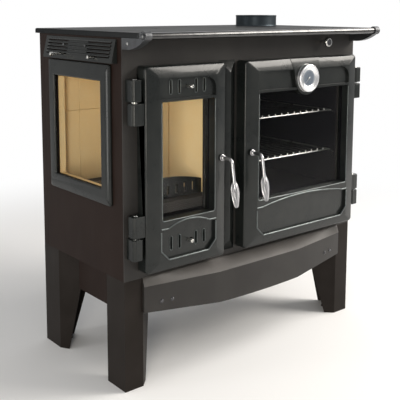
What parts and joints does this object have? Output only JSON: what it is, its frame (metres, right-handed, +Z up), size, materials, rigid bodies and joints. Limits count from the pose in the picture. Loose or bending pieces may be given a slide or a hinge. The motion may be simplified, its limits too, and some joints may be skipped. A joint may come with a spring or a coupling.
{
  "type": "wood cookstove",
  "caption": "Free-standing steel wood cookstove on folded legs, with a glazed cast firebox door, side window, glazed oven, flat hob with flue collar and a front rail.",
  "frame": {"origin": "on the floor, under the middle of the whole object's bounding box", "axes": "+X to the right seen from the front, +Y from the front to the back, +Z up along the flue"},
  "size_m": [0.856, 0.5161, 0.882],
  "materials": {
    "casing_paint": "satin heat-proof paint",
    "front_paint": "satin heat-proof paint",
    "cast_iron": "fine-grained casting, semi-gloss paint",
    "hob_steel": "ground dark steel plate",
    "bracket_metal": "cast, matt",
    "polished_steel": "polished",
    "bright_steel": "bright turned steel",
    "nickel": "satin nickel",
    "inner_steel": "dark enamel",
    "rack_wire": "bright wire",
    "lining_board": "pressed mineral board, matt",
    "rope_seal": "braided glass rope",
    "dial_face": "printed dial",
    "needle_paint": "gloss",
    "glass": "clear heat-proof glass"
  },
  "bodies": {
    "casing": {"ash_box": "inner_steel", "back_panel": "casing_paint", "baffle_board": "lining_board", "base_plate": "casing_paint", "centre_post": "cast_iron", "firebox_floor": "lining_board", "flue_collar": "hob_steel", "front_plate": "front_paint", "front_skirt": "front_paint", "grate": "cast_iron", "hinge_brackets": "cast_iron", "hinge_pins": "bright_steel", "hob_plate": "hob_steel", "latch_plate": "front_paint", "left_lining": "lining_board", "left_side_panel": "casing_paint", "leg_front_left": "front_paint", "leg_front_right": "front_paint", "leg_rear_left": "front_paint", "leg_rear_right": "front_paint", "levelling_feet": "bright_steel", "log_guard": "cast_iron", "oven_box": "inner_steel", "rail_brackets": "bracket_metal", "rail_end_caps": "polished_steel", "rear_apron": "casing_paint", "rear_lining": "lining_board", "right_lining": "lining_board", "right_side_panel": "casing_paint", "side_aprons": "casing_paint", "side_grille": "cast_iron", "side_window_frame": "cast_iron", "side_window_glass": "glass", "skirt_bolts": "bright_steel", "smoke_divider": "inner_steel", "towel_rail": "polished_steel"},
    "firebox_door": {"firebox_door": "cast_iron", "firebox_door_glass": "glass", "firebox_glass_retainer": "inner_steel", "firebox_door_gasket": "rope_seal"},
    "firebox_handle": {"firebox_handle_rod": "nickel", "firebox_handle_grip": "nickel"},
    "upper_air_slider": {"upper_air_slider": "bright_steel"},
    "lower_air_slider": {"lower_air_slider": "bright_steel"},
    "oven_door": {"oven_door": "cast_iron", "oven_door_glass": "glass", "oven_glass_retainer": "inner_steel", "oven_door_gasket": "rope_seal", "thermometer_case": "polished_steel", "thermometer_dial": "dial_face"},
    "oven_handle": {"oven_handle_rod": "nickel", "oven_handle_grip": "nickel"},
    "thermometer_needle": {"thermometer_needle": "needle_paint"},
    "ash_pan": {"ash_pan": "inner_steel"},
    "oven_rack_lower": {"oven_rack_lower": "rack_wire"},
    "oven_rack_upper": {"oven_rack_upper": "rack_wire"},
    "hob_lid": {"hob_lid": "hob_steel"},
    "damper": {"damper": "bright_steel"},
    "air_pull_front": {"air_pull_front": "bright_steel"},
    "air_pull_rear": {"air_pull_rear": "bright_steel"}
  },
  "joints": [
    {"name": "firebox_door_hinge", "type": "hinge", "parent": "casing", "child": "firebox_door", "pos_m": [-0.359, -0.17117, 0.5315], "axis": [0, 0, -1], "range_deg": [0, 110]},
    {"name": "oven_door_hinge", "type": "hinge", "parent": "casing", "child": "oven_door", "pos_m": [0.409, -0.17117, 0.5315], "axis": [0, 0, 1], "range_deg": [0, 110]},
    {"name": "firebox_handle_turn", "type": "hinge", "parent": "firebox_door", "child": "firebox_handle", "pos_m": [-0.119, -0.15417, 0.541], "axis": [0, 1, 0], "range_deg": [0, 80]},
    {"name": "oven_handle_turn", "type": "hinge", "parent": "oven_door", "child": "oven_handle", "pos_m": [-0.018, -0.15417, 0.541], "axis": [0, -1, 0], "range_deg": [0, 80]},
    {"name": "upper_air_slide", "type": "slide", "parent": "firebox_door", "child": "upper_air_slider", "axis": [1, 0, 0], "range_m": [0, 0.0125]},
    {"name": "lower_air_slide", "type": "slide", "parent": "firebox_door", "child": "lower_air_slider", "axis": [1, 0, 0], "range_m": [0, 0.0125]},
    {"name": "needle_turn", "type": "hinge", "parent": "oven_door", "child": "thermometer_needle", "pos_m": [0.178, -0.15417, 0.72], "axis": [0, 1, 0], "range_deg": [0, 270], "stiffness_Nm_per_rad": 0.002},
    {"name": "ash_pan_slide", "type": "slide", "parent": "casing", "child": "ash_pan", "axis": [0, -1, 0], "range_m": [0, 0.145]},
    {"name": "lower_rack_slide", "type": "slide", "parent": "casing", "child": "oven_rack_lower", "axis": [0, -1, 0], "range_m": [0, 0.145]},
    {"name": "upper_rack_slide", "type": "slide", "parent": "casing", "child": "oven_rack_upper", "axis": [0, -1, 0], "range_m": [0, 0.145]},
    {"name": "hob_lid_lift", "type": "slide", "parent": "casing", "child": "hob_lid", "axis": [0, 0, 1], "range_m": [0, 0.08]},
    {"name": "damper_slide", "type": "slide", "parent": "casing", "child": "damper", "axis": [0, -1, 0], "range_m": [0, 0.09]},
    {"name": "front_air_slide", "type": "slide", "parent": "casing", "child": "air_pull_front", "axis": [-1, 0, 0], "range_m": [0, 0.02]},
    {"name": "rear_air_slide", "type": "slide", "parent": "casing", "child": "air_pull_rear", "axis": [-1, 0, 0], "range_m": [-0.02, 0]}
  ],
  "couplings": [
    {"joint": "ash_pan_slide", "follows": "firebox_door_hinge", "m_per_rad": 0.075},
    {"joint": "lower_rack_slide", "follows": "oven_door_hinge", "m_per_rad": 0.075},
    {"joint": "upper_rack_slide", "follows": "oven_door_hinge", "m_per_rad": 0.075}
  ]
}
